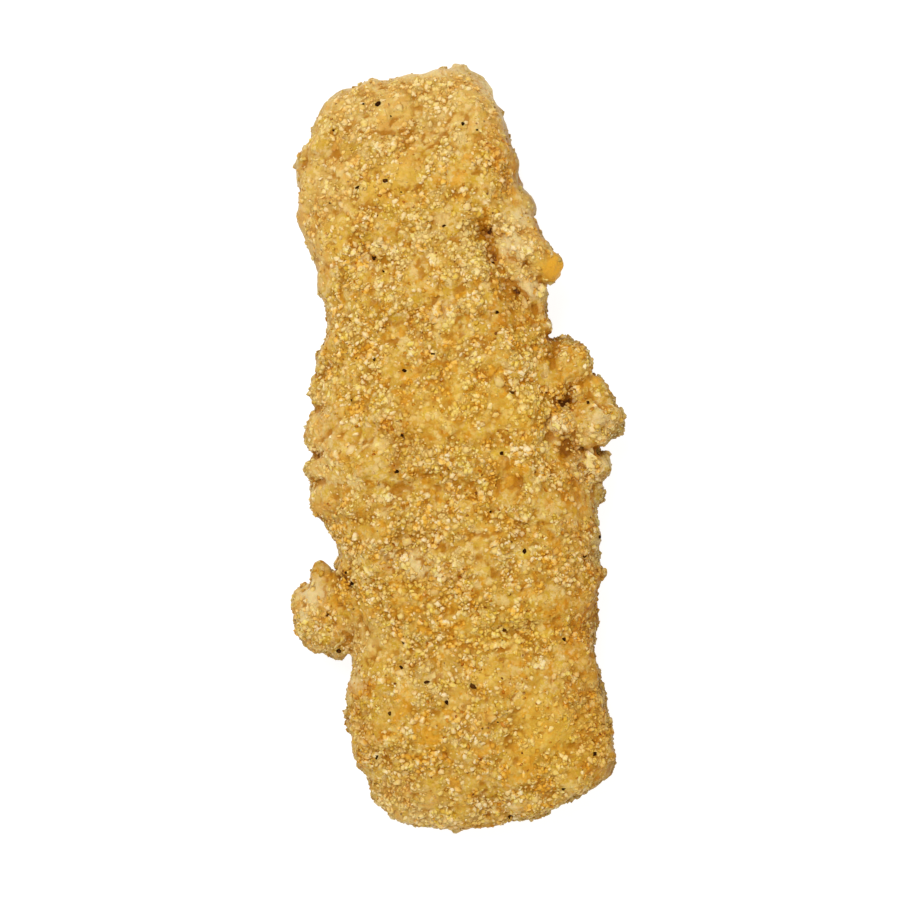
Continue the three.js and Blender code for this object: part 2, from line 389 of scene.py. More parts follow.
# Patches of the crust, in millimetres on the fillet: centre, reach both ways, turn in degrees, share
crustPatches = {
    "blondWash": [
        (0, 69, 24, 12, 0, 1.0),
        (10, 72, 8, 5, 0, 1.2),
        (-18, 54, 9, 9, 0, 1.0),
        (-6, 56, 8, 5, 0, 0.6),
        (-24, 43, 6, 10, 0, 1.0),
        (-27, 3, 5.5, 13, 0, 1.0),
        (-32, -26, 4.5, 5.5, 0, 1.0),
        (-6, -18, 9, 4, 0, 0.35),
        (18, 37, 5, 9, 10, 0.9),
        (28, 0, 5, 6, 0, 0.6),
        (-21, -35, 6, 5, 0, 1.0),
        (-17, -68, 9, 6, 0, 1.0),
        (0, -54, 6, 5, 0, 0.4),
    ],
    "honeyWash": [
        (0, 47, 11, 4, 0, 0.4),
        (3, 8, 12, 8, 0, 0.9),
        (15, 6, 8, 5, 0, 0.9),
        (8, -36, 12, 6, 0, 1.0),
        (15, -59, 11, 10, 0, 1.1),
        (-10, -26, 6, 4, 0, 0.8),
        (-11, -59, 8, 6, 0, 0.5),
    ],
    # partly a tan colour, partly painted shade at the lower right edge and under the flap
    "tanWash": [
        (-7, 4, 7, 6, 0, 0.9),
        (-6, -25, 8, 4, 0, 0.7),
        (25, -48, 7, 26, 0, 1.5),
        (23, -14, 4, 16, 0, 0.8),
        (17, 26, 5, 4, 0, 1.3),
        (22, 16, 4, 6, 0, 0.3),
        (-22, -54, 4, 5, 0, 0.9),
        (-22, -45, 4, 3, 0, 0.8),
        (17, 56, 5, 12, 0, 0.7),
        (-2, -74, 12, 3, 0, 0.6),
    ],
    "bareBatter": [
        (10, -52, 12, 11, 10, 0.6),
        (-2, 10, 11, 6, 0, 0.6),
        (-18, -46, 7, 7, 0, 0.75),
        (-24, 6, 4, 8, 0, 0.7),
        (14, -24, 6, 5, 0, 0.5),
        (-18, -3, 7.5, 5, 25, 0.9),
        (3, 75, 18, 2.6, 3, 1.0),
        (16.5, 71, 5, 2.6, -38, 1.0),
        (-6, 53, 6, 4, 0, 0.45),
        (-12, 60, 4, 3, 0, 0.7),
        (-21, 58, 7, 13, 0, 0.88),
        (-17, 69, 6, 4, 30, 0.6),
        (21.5, 58, 3.5, 14, -4, 1.0),
        (13, 4, 6, 5, 0, 0.5),
        (-30.6, -25.6, 3.0, 3.2, 0, 0.9),
        (17.6, 37.5, 2.6, 6.0, 14, 0.35),
        (29, 2, 4, 4, 0, 0.2),
        (23.5, 32.6, 3, 3.2, 0, 1.0),
        (22, -14, 4, 5, 0, 0.5),
        (-3, -40, 6, 4, 0, 0.4),
        (-9.5, 36, 2.6, 2.2, 0, 0.9),
        (-6, -75, 14, 2.2, 3, 0.8),
        (26.5, 15, 3, 4, 0, 0.7),
        (22.5, -1.5, 2.5, 4, 0, 0.9),
    ],
    "yellowBatter": [
        (12, -56, 11, 10, 10, 0.6),
        (-6, 53, 7, 5, 0, 0.9),
        (-17, 44, 3, 4, 0, 0.9),
        (23.5, 32.6, 3.2, 3.4, 0, 1.0),
        (13, 2, 5, 5, 0, 0.6),
        (3, -44, 6, 4, 0, 0.6),
        (-18, 18, 4, 4, 0, 0.5),
        (-10, -66, 8, 3, 0, 0.4),
        (2, 66, 10, 4, 0, 0.4),
    ],
    "paleBatter": [
        (-30.2, -25.0, 3.4, 3.2, 20, 1.15),
        (-32.0, -29.4, 1.8, 2.2, 0, 0.9),
        (30, 2.5, 4, 4, 0, 0.7),
        (22.3, 2.2, 3, 3, 0, 1.0),
        (27, -6, 4, 4, 0, 0.9),
        (17.0, 38.5, 2.8, 5.5, 12, 0.95),
        (19.6, 30.0, 2.6, 4.0, 30, 0.9),
        (19.5, 43.5, 2.4, 3.0, 0, 0.8),
        (2, 27, 4, 2.5, 30, 0.6),
        (-12, 38.5, 4, 3, 30, 0.6),
        (-19, -3, 7, 4, 25, 0.4),
        (2, 75.5, 20, 3.6, 3, 0.75),
        (17, 70.5, 5.0, 3.2, -40, 0.8),
        (-9, -21, 8, 4, -10, 0.7),
        (-22, 8, 4, 12, 0, 0.5),
        (-23, -43, 3, 5, 0, 0.6),
        (-12, -72, 9, 3, 5, 0.5),
        (5, -70, 6, 3, 0, 0.5),
    ],
    "eggBatter": [
        (24.2, 33.2, 2.3, 3.2, 0, 1.35),
        (30.6, 10.6, 1.6, 1.3, 0, 1.1),
        (-26.4, -27.6, 1.4, 1.2, 0, 0.8),
    ],
    "lobe": [
        (-26.0, 14.4, 2.4, 1.8, 0, 1.0),
        (-28.0, 5.3, 2.4, 1.8, 0, 1.4),
        (-28.2, -0.7, 2.4, 1.4, 0, 0.9),
        (-29.0, -7.0, 2.4, 2.2, 0, 0.8),
        (-24.0, 59.3, 2.4, 4.4, 0, 0.8),
        (-25.5, 49.5, 2.4, 3.0, 0, 0.7),
        (-26.6, -46.5, 2.0, 3.2, 0, 0.7),
        (-26.6, -57.4, 2.0, 3.6, 0, 0.9),
        (-34.5, -32.2, 3.4, 3.0, 0, 2.6),
        (-30.2, -22.4, 1.6, 1.4, 0, 1.3),
        (-23.8, -21.8, 1.7, 1.5, 0, 3.6),
        (-28.2, -18.8, 0.9, 0.9, 0, 1.6),
        (21.3, 21.4, 2.0, 1.8, 0, 1.0),
        (24.2, 33.4, 2.2, 2.8, 0, 1.0),
    ],
    "groove": [
        (-24.6, 17.6, 2.4, 0.8, 0, 1.6),
        (-26.0, 11.0, 2.4, 0.8, 0, 1.6),
        (-27.0, 2.0, 2.2, 0.8, 0, 2.2),
        (-27.2, -3.2, 2.2, 1.2, 0, 2.2),
        (23.0, 19.8, 1.8, 1.5, 0, 2.6),
        (-21.5, 64.4, 2.4, 0.8, 0, 1.0),
        (-24.3, 54.0, 2.4, 0.8, 0, 1.0),
        (-26.0, -51.0, 2.4, 0.8, 0, 1.1),
        (-25.0, -63.2, 2.4, 1.2, 0, 1.0),
        (3, 72.6, 8, 0.7, 3, 0.35),
        (15.2, 69.8, 4.5, 0.7, -35, 0.35),
        (18.6, 60, 0.7, 7, 3, 0.7),
        (-22.5, 58, 0.7, 6, -12, 0.7),
        (-10, -6, 5, 0.9, 10, 0.4),
        (0, -3.4, 7, 0.9, 16, 0.4),
        (-9.5, 38.8, 3, 0.7, -28, 0.9),
        (-13, 45, 0.8, 4, 20, 0.6),
        (5, -17, 8, 0.7, -6, 0.3),
        (-6, -30, 9, 0.7, 8, 0.2),
        (8, 21, 6, 0.7, -18, 0.4),
        (-3, 62.5, 9, 0.8, -10, 0.6),
        (12.6, 41.4, 1.1, 4.4, 7, 0.8),
        (14.6, 33.2, 1.1, 4.2, 28, 0.7),
        (18.6, 27.6, 1.1, 3.0, 34, 0.8),
        (22.0, 15.6, 1.0, 3.0, 8, 0.8),
        (-26.2, -19.4, 0.9, 0.9, 0, 1.0),
    ],
    # browner batter, and painted shade in crevices, in the hole by the cluster, under the knob and at
    # the lower right edge
    "brownBatter": [
        (22.5, 7.2, 1.7, 2.6, 15, 1.0),
        (26.0, 9.4, 2.6, 0.8, -8, 0.75),
        (23, -2, 2.4, 3.5, 0, 0.9),
        (28.5, -3.5, 4, 2.4, 20, 0.8),
        (-9.5, 36, 3, 2.4, -20, 0.5),
        (13.1, 41.6, 1.4, 1.8, 10, 0.78),
        (13.4, 36.8, 1.1, 2.0, 10, 0.62),
        (19.0, 34.0, 1.5, 1.1, 35, 0.8),
        (16.8, 29.4, 1.2, 1.8, 25, 0.82),
        (20.2, 25.4, 1.1, 1.8, 25, 0.72),
        (22.4, 15.5, 1.3, 2.4, 5, 0.6),
        (21.2, 21.0, 1.6, 2.2, 0, 0.55),
        (-23.6, -22.4, 2.6, 1.7, -25, 1.05),
        (-28.6, -28.2, 1.3, 1.0, 0, 0.6),
        (-22.2, -24.5, 1.2, 1.6, 0, 0.7),
        (-26, -35.5, 4, 2.0, -10, 0.5),
        (24, -10, 2, 4, 0, 0.6),
        (26.2, -42.5, 1.4, 4, 0, 0.55),
        (4, -75, 3, 2, 0, 0.6),
    ],
}


def markPatches(piece):
    # each kind of patch as an attribute of the crust's points
    mesh = piece.data
    places = np.empty(len(mesh.vertices) * 3, np.float32)
    mesh.vertices.foreach_get("co", places)
    x, y, z = places.reshape(-1, 3).T / mm
    folds = sideFolds
    low = np.clip(folds["start"] - z / folds["reach"], 0, 1)
    sway = low * folds["sway"] * np.sin(z * folds["wavesUp"] + x * folds["wavesAcross"])
    for name, patches in crustPatches.items():
        swaying = name in ("groove", "lobe")
        faded = swaying or name == "eggBatter"
        share = np.zeros(len(x), np.float32)
        for centreX, centreY, reachX, reachY, turn, amount in patches:
            cosine, sine = math.cos(math.radians(turn)), math.sin(math.radians(turn))
            fromX, fromY = x - centreX, y - centreY + sway * swaying
            across = (cosine * fromX + sine * fromY) / reachX
            lengthwise = (cosine * fromY - sine * fromX) / reachY
            share = np.maximum(share, amount * np.exp(-(across**2) - lengthwise**2))
        share = share * (1 - folds["fade"] * low * faded)
        mesh.attributes.new(name, "FLOAT", "POINT").data.foreach_set("value", share)


def reliefTree():
    rises = crustRises
    kinds = {int: "NodeSocketInt", float: "NodeSocketFloat"}
    settings = {name: (kinds[type(value)], value) for name, value in crustSizes.items()}
    settings["material"] = ("NodeSocketMaterial", None)
    tree, given = newTree("crustRelief", settings)
    place = addNode(tree, "GeometryNodeInputPosition")
    facing = addNode(tree, "GeometryNodeInputNormal")
    height = axisOf(tree, place, "Z")

    def swells(name, seed, detail=2.0):
        return noiseField(tree, place, given[name + "Size"], seed, detail)

    # the skirt is the side of the strip, smoother than its top, most of all toward the far end
    upward = axisOf(tree, blurred(tree, facing, given["facingReach"]), "Z")
    farther = axisOf(tree, place, "Y").rise(*rises["farther"])
    skirt = (1 - upward.rise(*rises["skirt"])) * (0.15 + 0.85 * farther)
    skirt = skirt * swells("skirtGap", 7).rise(*rises["skirtGap"])
    marked = keepMark(tree, given["Geometry"], "skirt", skirt)

    # painted shade on the steep rim, most of all on the right
    rightward = axisOf(tree, place, "X").rise(*rises["rightward"])
    rim = (1 - upward.rise(*rises["rim"])) * (0.6 + 0.4 * rightward)
    marked = keepMark(tree, marked, "rim", rim)
    marked = keepMark(tree, marked, "bareBatter", readMark(tree, "bareBatter").atLeast(skirt))
    bare = readMark(tree, "bareBatter")
    crowd = swells("crowd", 31).rise(*rises["crowd"]) * (1 - bare * bareLoss["crowd"])
    marked = keepMark(tree, marked, "crowd", crowd)

    crag = swells("crag", 1, 1.0)
    clod = swells("clod", 2, 1.5)
    crease = 1 - abs(swells("crease", 4)).rise(*rises["crease"])
    crease = crease * swells("creaseGap", 6).rise(*rises["creaseGap"])
    groove = readMark(tree, "groove") * swells("grooveGap", 8).rise(*rises["grooveGap"])
    crevice = (readMark(tree, "brownBatter") + clod * 0.8).rise(*rises["crevice"])
    grain = 1 - grainCells(tree, place, given["grainSize"]).rise(*rises["grain"])
    rough = (1 - bareLoss["grain"] * bare) * (0.7 + 0.3 * crowd)
    swell = crag * given["cragHeight"] * (1 - bareLoss["crag"] * bare)
    swell = swell - crease * given["creaseDepth"] - groove * given["grooveDepth"]
    swell = swell + readMark(tree, "lobe") * given["lobeHeight"]
    swell = swell - crevice * given["creviceDepth"]
    swell = swell + (clod * given["clodHeight"] + grain * given["grainHeight"]) * rough

    # the underside is pressed flat and only has pits
    side = height.rise(*rises["side"])
    pit = swells("pit", 5).atLeast(-0.05) + 0.05
    moved = scaledVector(tree, facing, swell * side * mm)
    lift = pit * given["pitDepth"] * (1 - side) * mm
    lifted = addNode(tree, "ShaderNodeCombineXYZ", {}, {"Z": lift})
    offset = vectorMaths(tree, "ADD", moved, lifted)
    inputs = {"Geometry": marked, "Offset": offset}
    settled = floored(tree, addNode(tree, "GeometryNodeSetPosition", {}, inputs), 0.0)

    # how far each point lies in a small hollow or a broad dip, in millimetres, and under 0 on a crest
    for name in ("hollow", "dip"):
        here = addNode(tree, "GeometryNodeInputPosition")
        away = vectorMaths(tree, "SUBTRACT", blurred(tree, here, given[name + "Reach"]), here)
        normal = addNode(tree, "GeometryNodeInputNormal")
        depth = vectorMaths(tree, "DOT_PRODUCT", away, normal, output="Value") / mm
        settled = keepMark(tree, settled, name, depth)
    closeTree(tree, settled, given["material"])
    return tree


batterFinish = {
    "Subsurface Weight": 0.15,
    "Subsurface Radius": (1.0, 0.5, 0.16),
    "Subsurface Scale": 0.0008,
    "Specular IOR Level": 0.12,
    "IOR": 1.45,
}

batterColours = {
    "gold": toLinear(214, 169, 64),
    "light": toLinear(230, 192, 104),
    "amber": toLinear(176, 112, 8),
    "yellow": toLinear(230, 184, 70),
    "pale": toLinear(230, 206, 148),
    "skirt": toLinear(216, 172, 104),
    "footShade": (0.74, 0.62, 0.46, 1.0),
    "brown": toLinear(128, 72, 6),
    "holeShade": toLinear(70, 32, 3),
    "egg": toLinear(228, 164, 40),
    "gapShade": (0.6, 0.46, 0.24, 1.0),
}

# Noises of the batter: size in millimetres, seed, detail, roughness
batterSwells = {
    "middle": (2.6, 12, 3.0, 0.5),
    "fine": (0.7, 13, 3.0, 0.6),
    "gapShade": (3.0, 18, 2.0, 0.5),
    "pitShade": (0.55, 19, 2.0, 0.6),
    "ragged": (1.5, 20, 3.0, 0.6),
}

batterLook = {
    "lightRise": (-0.12, 0.25),
    "skirtShare": 0.65,
    "pitShadeRise": (-0.06, -0.22),
    "gapShadeRise": (-0.2, 0.1),
    "coarseGrain": 1.7,
    "coarseShare": 0.7,
    "smallGrain": 0.95,
    "smallShare": 0.6,
    "grainRise": (0.25, 0.8),
    "footHeight": 7.0,
    "dipRise": (0.6, 1.8),
    "roughness": 0.46,
    "roughSwing": 0.3,
    "bareGloss": 0.08,  # taken off the roughness where the batter is bare
    "bumpHeight": 0.25,
}

# Patches laid on one over another: colour, where each starts and where it is full, how much is laid
batterPatches = {
    "yellow": ("yellow", (0.15, 0.8), 0.6),
    "pale": ("pale", (0.2, 0.95), 0.8),
    # painted shade low on the sides, near the table
    "footShade": ("footShade", (0.1, 0.9), 0.4),
    # painted shade in the hollows and grooves
    "crevice": ("amber", (0.03, 0.24), 0.85),
    "egg": ("egg", (0.35, 1.1), 0.8),
    # toasted, brown and hole: browning in ragged patches, with painted shade in crevices and broad dips
    "toastedAndShade": ("amber", (0.25, 0.7), 0.7),
    "brown": ("brown", (0.62, 0.85), 0.85),
    "holeShade": ("holeShade", (0.95, 1.15), 0.85),
}

# The crumbs that are sunk in the batter: how their borders are bent, as shares of their size, and
# where a crumb leaves off and is full, then their tones
granuleLook = {"bendSize": 0.8, "bend": 0.9, "rise": (0.12, 0.6)}

granuleStops = [
    (0.0, (188, 132, 30)),
    (0.3, (210, 162, 56)),
    (0.55, (222, 182, 84)),
    (0.78, (237, 204, 124)),
    (1.0, (247, 224, 166)),
]


def granules(tree, place, size, seed):
    # a bed of crumbs: how near each point is to the middle of its crumb, and the crumb's tone
    look = granuleLook
    inputs = {"Vector": place, "Scale": 1000 / (size * look["bendSize"]), "Detail": 1.0}
    bend = centred(tree, addNode(tree, "ShaderNodeTexNoise", {}, inputs, "Color"))
    bent = vectorMaths(tree, "ADD", place, scaledVector(tree, bend, size * look["bend"] * mm))
    cells = grainCells(tree, shifted(tree, bent, seed), size)
    return 1 - cells.rise(*look["rise"]), axisOf(tree, cells.out("Color"), "X")


def makeBatterMaterial():
    material, tree, shader = newMaterial("friedBatter", batterFinish)
    place = addNode(tree, "ShaderNodeTexCoord").out("Object")
    colours, look = batterColours, batterLook
    swells = {name: noiseField(tree, place, *given) for name, given in batterSwells.items()}
    middle, fine = swells["middle"], swells["fine"]
    names = ("bareBatter", "paleBatter", "crowd", "hollow")
    bare, pale, crowd, hollow = (surfaceMark(tree, name) for name in names)
    rough = (1 - bare * 0.45) * (0.5 + 0.5 * crowd)
    light = (middle + fine * 0.8).rise(*look["lightRise"])
    skirt = surfaceMark(tree, "skirt") * look["skirtShare"]
    colour = mixColours(tree, colours["gold"], colours["light"], light)
    colour = mixColours(tree, colour, colours["skirt"], skirt)
    colour = mottled(tree, place, colour)
    # painted shade in tiny pits
    pitShade = swells["pitShade"].rise(*look["pitShadeRise"]) * (0.3 + 0.5 * crowd)
    colour = mixColours(tree, colour, colours["gapShade"], pitShade, "MULTIPLY")

    # crumbs sunk in the batter, coarse and then small, with a painted amber shade between them
    coarse, coarseTone = granules(tree, place, look["coarseGrain"], 16)
    small, smallTone = granules(tree, place, look["smallGrain"], 17)
    gapShade = (1 - coarse.atLeast(small * 0.8)) * swells["gapShade"].rise(*look["gapShadeRise"])
    colour = mixColours(tree, colour, colours["gapShade"], gapShade * (0.25 + 0.75 * crowd), "MULTIPLY")
    # sunk crumbs in the hollows take darker tones: painted shade
    lean = middle * 0.7 + hollow * -0.5 - 0.04
    beds = [(coarse, coarseTone, look["coarseShare"]), (small, smallTone, look["smallShare"])]
    for bed, tone, share in beds:
        grain = ramped(tree, tone + lean, granuleStops)
        colour = mixColours(tree, colour, grain, bed.rise(*look["grainRise"]) * rough * share)

    def laid(under, name, strength, blend="MIX"):
        tint, rise, share = batterPatches[name]
        return mixColours(tree, under, colours[tint], strength.rise(*rise) * share, blend)

    colour = laid(colour, "yellow", surfaceMark(tree, "yellowBatter") + middle * 0.5)
    colour = laid(colour, "pale", pale + middle * 0.8 + fine * 0.9)
    # painted shade low on the sides, near the table
    footShade = 1 - axisOf(tree, place, "Z").rise(0.0, look["footHeight"] * mm)
    colour = laid(colour, "footShade", footShade + middle * 0.8 - pale, "MULTIPLY")
    # painted shade in amber in the hollows and grooves
    colour = laid(colour, "crevice", hollow + surfaceMark(tree, "groove") * 0.2)
    colour = laid(colour, "egg", surfaceMark(tree, "eggBatter") + middle * 1.6 + fine * 0.6)
    # browning in ragged patches, with painted shade in crevices and in broad dips
    dip = surfaceMark(tree, "dip").rise(*look["dipRise"])
    dark = surfaceMark(tree, "brownBatter") + dip * 0.8 + swells["ragged"]
    for name in ("toastedAndShade", "brown", "holeShade"):
        colour = laid(colour, name, dark)
    wireIn(tree, shader, "Base Color", colour)
    roughness = look["roughness"] + fine * look["roughSwing"] - bare * look["bareGloss"]
    wireIn(tree, shader, "Roughness", roughness)
    relief = (coarse * 1.1 + small * 0.8) * rough + fine * 0.7
    inputs = {"Strength": 1.0, "Distance": look["bumpHeight"] * mm, "Height": relief}
    wireIn(tree, shader, "Normal", addNode(tree, "ShaderNodeBump", {}, inputs))
    return material


crumbLook = {
    "fineSize": 0.5,
    "toneShare": 0.7,
    "leastTone": 0.08,
    "crestHighlightRise": (0.2, 0.9),
    "crestHighlightShare": 0.3,
    "fineShare": 0.3,
    "roughness": 0.5,
}

# Painted shade on the crumbs: darker at the foot, in small hollows and in broad dips of the crust:
# tint, where it starts and where it is full, how much is laid
crumbShades = {
    "footShade": ((0.62, 0.47, 0.25, 1.0), (0.2, 0.8), 0.68),
    "hollow": ((0.58, 0.42, 0.18, 1.0), (0.08, 0.6), 0.7),
    "dip": ((0.5, 0.3, 0.1, 1.0), (0.5, 1.6), 0.8),
}


def makeCrumbMaterial(name, stops, settings, tinted):
    # crumbs of one kind, each with its own tone between the stops
    material, tree, shader = newMaterial(name, settings)
    place = addNode(tree, "ShaderNodeTexCoord").out("Object")
    look = crumbLook
    fine = noiseField(tree, place, look["fineSize"], 21) * look["fineShare"]
    crest = surfaceMark(tree, "crest")
    tone = surfaceMark(tree, "tone") * look["toneShare"] + look["leastTone"] + fine
    # painted highlight: the top of each crumb is lighter
    tone = tone + crest.rise(*look["crestHighlightRise"]) * look["crestHighlightShare"]
    ramp = ramped(tree, tone, stops)
    colour = mottled(tree, place, ramp) if tinted else ramp
    depths = {"footShade": 1 - crest, "hollow": surfaceMark(tree, "hollow"), "dip": surfaceMark(tree, "dip")}
    for mark, depth in depths.items():
        tint, rise, share = crumbShades[mark]
        colour = mixColours(tree, colour, tint, depth.rise(*rise) * share, "MULTIPLY")
    wireIn(tree, shader, "Base Color", colour)
    wireIn(tree, shader, "Roughness", look["roughness"] + fine)
    return material


def makeCrust():
    # the solid as one skin of even small faces, then its relief
    given = skinSizes
    base = bpy.data.objects.new("crustBase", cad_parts["breaded_fillet"].data.copy())
    bpy.context.scene.collection.objects.link(base)
    skin = bmesh.new()
    skin.from_mesh(base.data)
    bmesh.ops.remove_doubles(skin, verts=skin.verts, dist=given["joinedWithin"] * mm)
    skin.to_mesh(base.data)
    skin.free()
    base.data.materials.clear()
    coarser = 1
    remesh = base.modifiers.new("even", "REMESH")
    remesh.mode, remesh.voxel_size = "VOXEL", given["voxel"] * mm * coarser
    soften = base.modifiers.new("soften", "SMOOTH")
    soften.factor, soften.iterations = given["softness"], given["smoothing"]
    even = plainMesh(base, "evenSkin")
    bpy.data.objects.remove(base)
    markPatches(even)
    crust = growFrom(even, reliefTree(), {"material": makeBatterMaterial()}, "crustShell")
    bpy.data.objects.remove(even)
    return crust


crust = makeCrust()
print("crust made:", countTriangles(crust), "triangles")


# Crumbs of each kind, scattered over the crust
crumbFinish = {
    "Subsurface Weight": 0.12,
    "Subsurface Radius": (1.0, 0.6, 0.25),
    "Subsurface Scale": 0.0005,
    "Specular IOR Level": 0.12,
}

pepperFinish = {"Specular IOR Level": 0.0}

# perArea is in crumbs to a square millimetre, spacing is the least distance between two of a kind,
# radius goes from the least to the most, and flatness and sunk are shares of it
crumbKinds = {
    "goldenCrumbs": {
        "slot": "golden_crumbs",
        "perArea": 0.78,
        "spacing": 0.42,
        "radius": (0.3, 0.84),
        "flatness": 0.72,
        "sunk": 0.34,
        "stops": [(0.0, (214, 168, 62)), (0.45, (232, 192, 94)), (1.0, (245, 214, 130))],
    },
    "honeyCrumbs": {
        "slot": "golden_crumbs",
        "perArea": 0.72,
        "spacing": 0.42,
        "radius": (0.29, 0.78),
        "flatness": 0.7,
        "sunk": 0.38,
        "stops": [(0.0, (192, 138, 32)), (0.5, (214, 166, 58)), (1.0, (232, 190, 88))],
    },
    "peachCrumbs": {
        "slot": "pale_crumbs",
        "perArea": 0.95,
        "spacing": 0.42,
        "radius": (0.29, 0.8),
        "flatness": 0.76,
        "sunk": 0.28,
        "longest": 1.45,
        "soft": False,
        "stops": [(0.0, (234, 196, 116)), (0.5, (243, 213, 148)), (1.0, (252, 231, 186))],
    },
    "amberCrumbs": {
        "slot": "amber_crumbs",
        "perArea": 0.25,
        "spacing": 1.0,
        "radius": (0.32, 0.62),
        "flatness": 0.65,
        "sunk": 0.4,
        "stops": [(0.0, (158, 94, 12)), (0.5, (188, 122, 24)), (1.0, (212, 148, 42))],
    },
    "fineCrumbs": {
        "slot": "pale_crumbs",
        "perArea": 0.3,
        "spacing": 0.6,
        "radius": (0.18, 0.34),
        "flatness": 0.85,
        "sunk": 0.0,
        "stops": [(0.0, (190, 138, 42)), (0.5, (218, 174, 80)), (1.0, (240, 206, 130))],
    },
    # dark bits where the crust has small pits: painted shade of the pits
    "brownBits": {
        "slot": "amber_crumbs",
        "perArea": 0.07,
        "spacing": 1.2,
        "radius": (0.2, 0.42),
        "flatness": 0.6,
        "sunk": 0.3,
        "stops": [(0.0, (92, 48, 8)), (0.5, (126, 74, 16)), (1.0, (160, 104, 30))],
    },
    "flakyCrumbs": {
        "slot": "pale_crumbs",
        "perArea": 0.18,
        "spacing": 1.6,
        "radius": (0.5, 1.05),
        "flatness": 0.5,
        "sunk": 0.2,
        "longest": 1.8,
        "soft": False,
        "patch": "paleBatter",
        "patchShare": 0.75,
        "leastCrowd": 0.6,
        "stops": [(0.0, (220, 180, 104)), (0.5, (234, 204, 138)), (1.0, (244, 222, 170))],
    },
    "pepperDust": {
        "slot": "pepper",
        "perArea": 0.002,
        "spacing": 2.5,
        "radius": (0.2, 0.42),
        "flatness": 0.6,
        "sunk": -0.4,
        "stops": [(0.0, (40, 20, 6)), (0.7, (58, 32, 10)), (1.0, (96, 56, 18))],
    },
}


# The inputs of the scatter, as they are for a kind that doesn't say otherwise
crumbInputs = {
    "perArea": ("NodeSocketFloat", 0.5),
    "spacing": ("NodeSocketFloat", 1.0),
    "least": ("NodeSocketFloat", 0.3),
    "most": ("NodeSocketFloat", 0.6),
    "flatness": ("NodeSocketFloat", 0.7),
    "sunk": ("NodeSocketFloat", 0.1),
    "longest": ("NodeSocketFloat", 1.3),
    "patchShare": ("NodeSocketFloat", 0.0),
    "leastCrowd": ("NodeSocketFloat", 0.1),
    "seed": ("NodeSocketInt", 0),
    "soft": ("NodeSocketBool", True),
    "patch": ("NodeSocketString", "bareBatter"),
    "material": ("NodeSocketMaterial", None),
}


# What all the kinds of crumbs share. A loss is the share of the crumbs that is missing there
scatterLook = {
    "undersideLoss": 0.9,
    "sideRise": (0.3 * mm, 1.2 * mm),
    "eggLoss": 0.85,
    "eggRise": (0.3, 0.9),
    "skirtLoss": 0.6,
    "tilt": 0.5,
    "shortest": 0.8,
    "breadth": (0.75, 1.05),
    "thickness": (0.8, 1.2),
    "knockSize": 1.6,
    "knock": 1.4,
    "lowest": 0.02,
}


